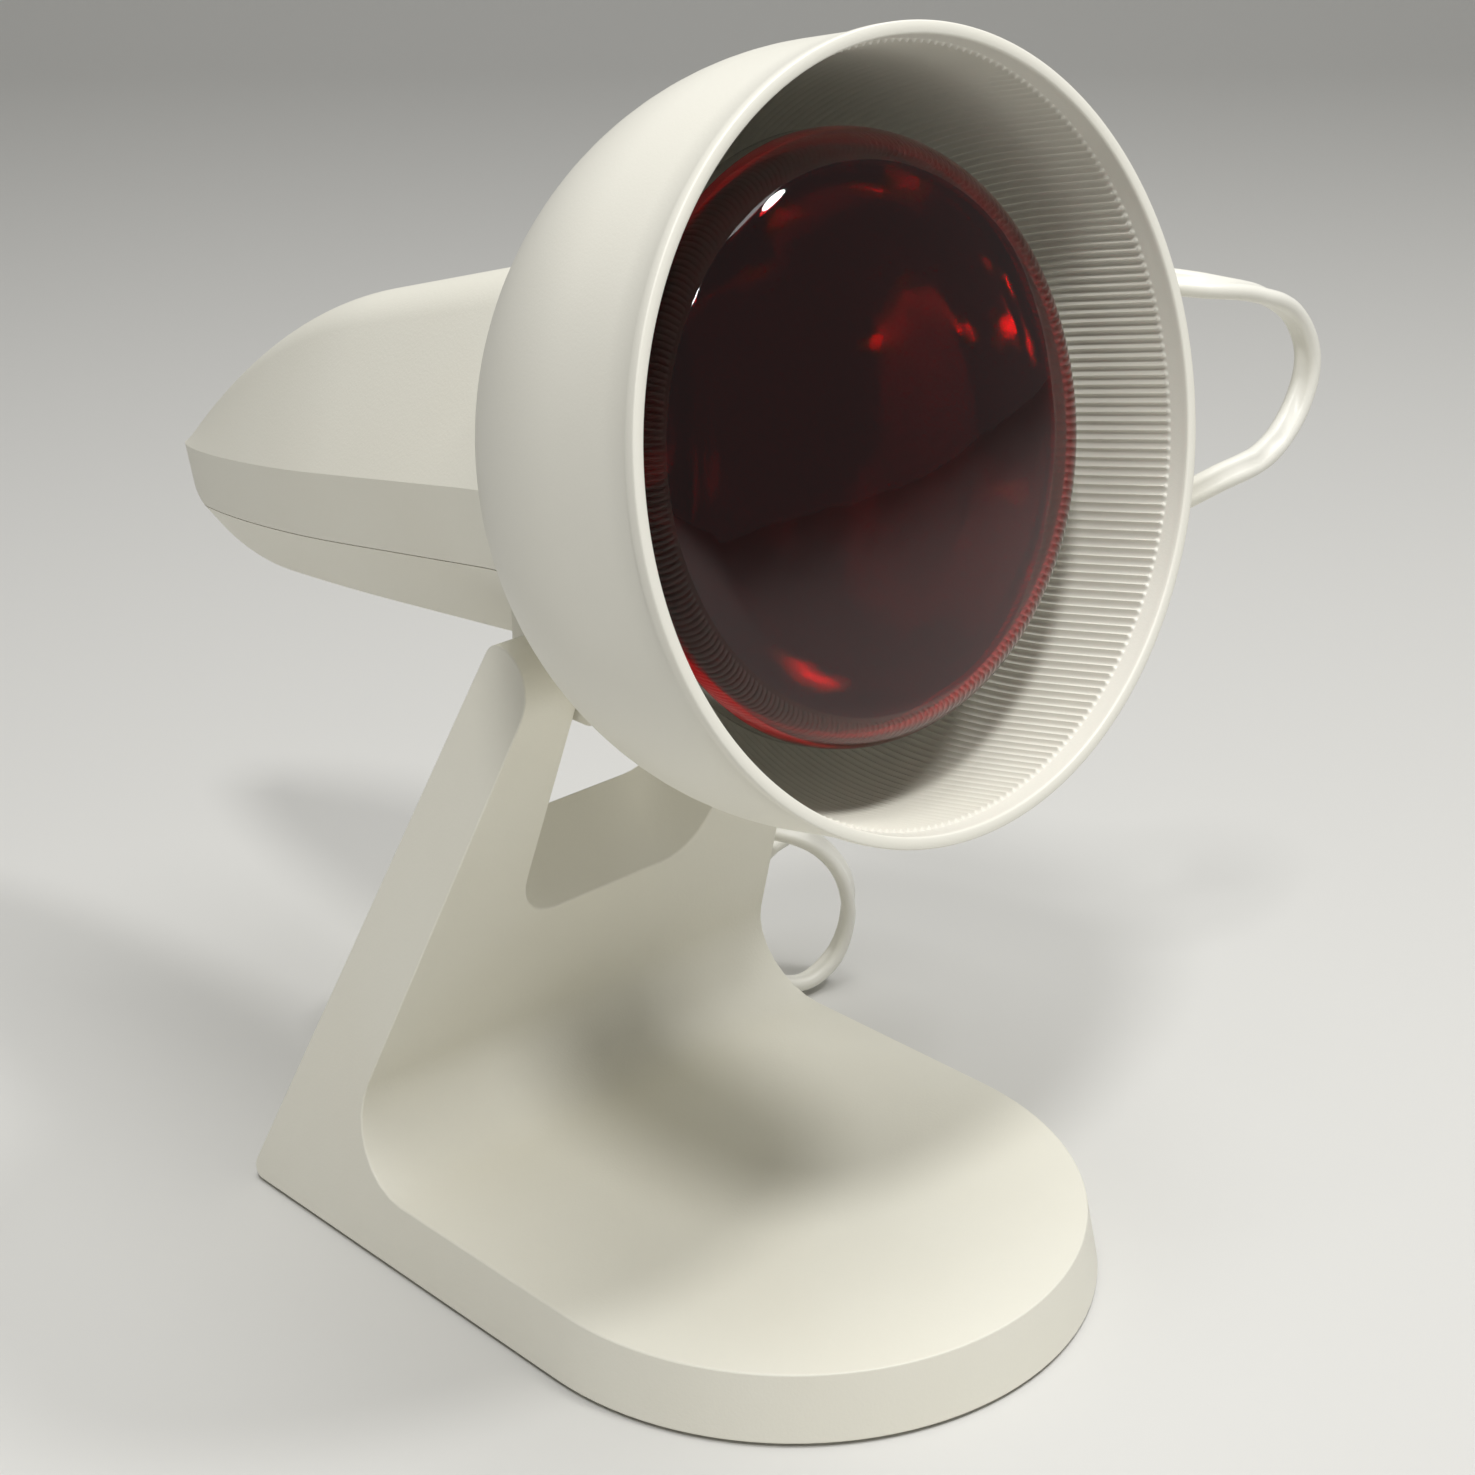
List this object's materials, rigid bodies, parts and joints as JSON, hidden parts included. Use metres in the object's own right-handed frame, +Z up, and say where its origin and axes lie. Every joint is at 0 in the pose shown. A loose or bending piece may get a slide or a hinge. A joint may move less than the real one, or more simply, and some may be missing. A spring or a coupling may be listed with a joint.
{
  "type": "infrared heat therapy lamp",
  "caption": "Tabletop infrared heat lamp: tilting bell shade with a red reflector bulb and a tapered rear housing, hinged between the arms of a one-piece forked stand.",
  "frame": {"origin": "on the desk plane under the rubber feet, at the middle of the lamp's length and width without its mains lead", "axes": "+X to the right of the mirror plane, -Y the way the lamp shines, +Z up"},
  "size_m": [0.2137, 0.2916, 0.2753],
  "materials": {
    "white_plastic": "satin injection-moulded",
    "grey_plastic": "matt moulded",
    "rubber": "matt",
    "steel": "zinc-plated",
    "fibre": "matt",
    "lead_sheath": "soft PVC",
    "tie": "matt",
    "shade_white": "satin",
    "ceramic": "glazed porcelain",
    "brass": "plain",
    "ruby_glass": "pressed ruby glass",
    "mirror_glass": "mirrored from inside",
    "cap_metal": "nickel-plated",
    "silicone": "silicone sleeve"
  },
  "bodies": {
    "stand": {"stand_shell": "white_plastic", "base_plate": "grey_plastic", "base_screws": "steel", "rubber_feet": "rubber", "cord_gland": "lead_sheath", "hinge_pin": "steel", "friction_washers": "fibre", "cord_run": "lead_sheath", "cord_coil": "lead_sheath", "cord_tie": "tie", "plug_body": "lead_sheath", "plug_pins": "steel"},
    "head": {"shade": "shade_white", "tail_shell": "white_plastic", "tail_cover": "white_plastic", "tail_screws": "steel", "hinge_block": "white_plastic", "hinge_screws": "steel", "lamp_holder": "ceramic", "holder_contact": "brass", "holder_bracket": "steel", "holder_screws": "steel", "terminal_block": "ceramic", "holder_leads": "silicone"},
    "bulb": {"bulb_lens": "ruby_glass", "bulb_bowl": "mirror_glass", "bulb_cap": "cap_metal", "bulb_tip": "steel"}
  },
  "joints": [
    {"name": "head_tilt", "type": "hinge", "parent": "stand", "child": "head", "pos_m": [0, -0.03231, 0.136], "axis": [1, 0, 0], "range_deg": [-30, 30]},
    {"name": "bulb_lift_out", "type": "slide", "parent": "head", "child": "bulb", "axis": [0, -0.9789, 0.2045], "range_m": [0, 0.14]}
  ]
}
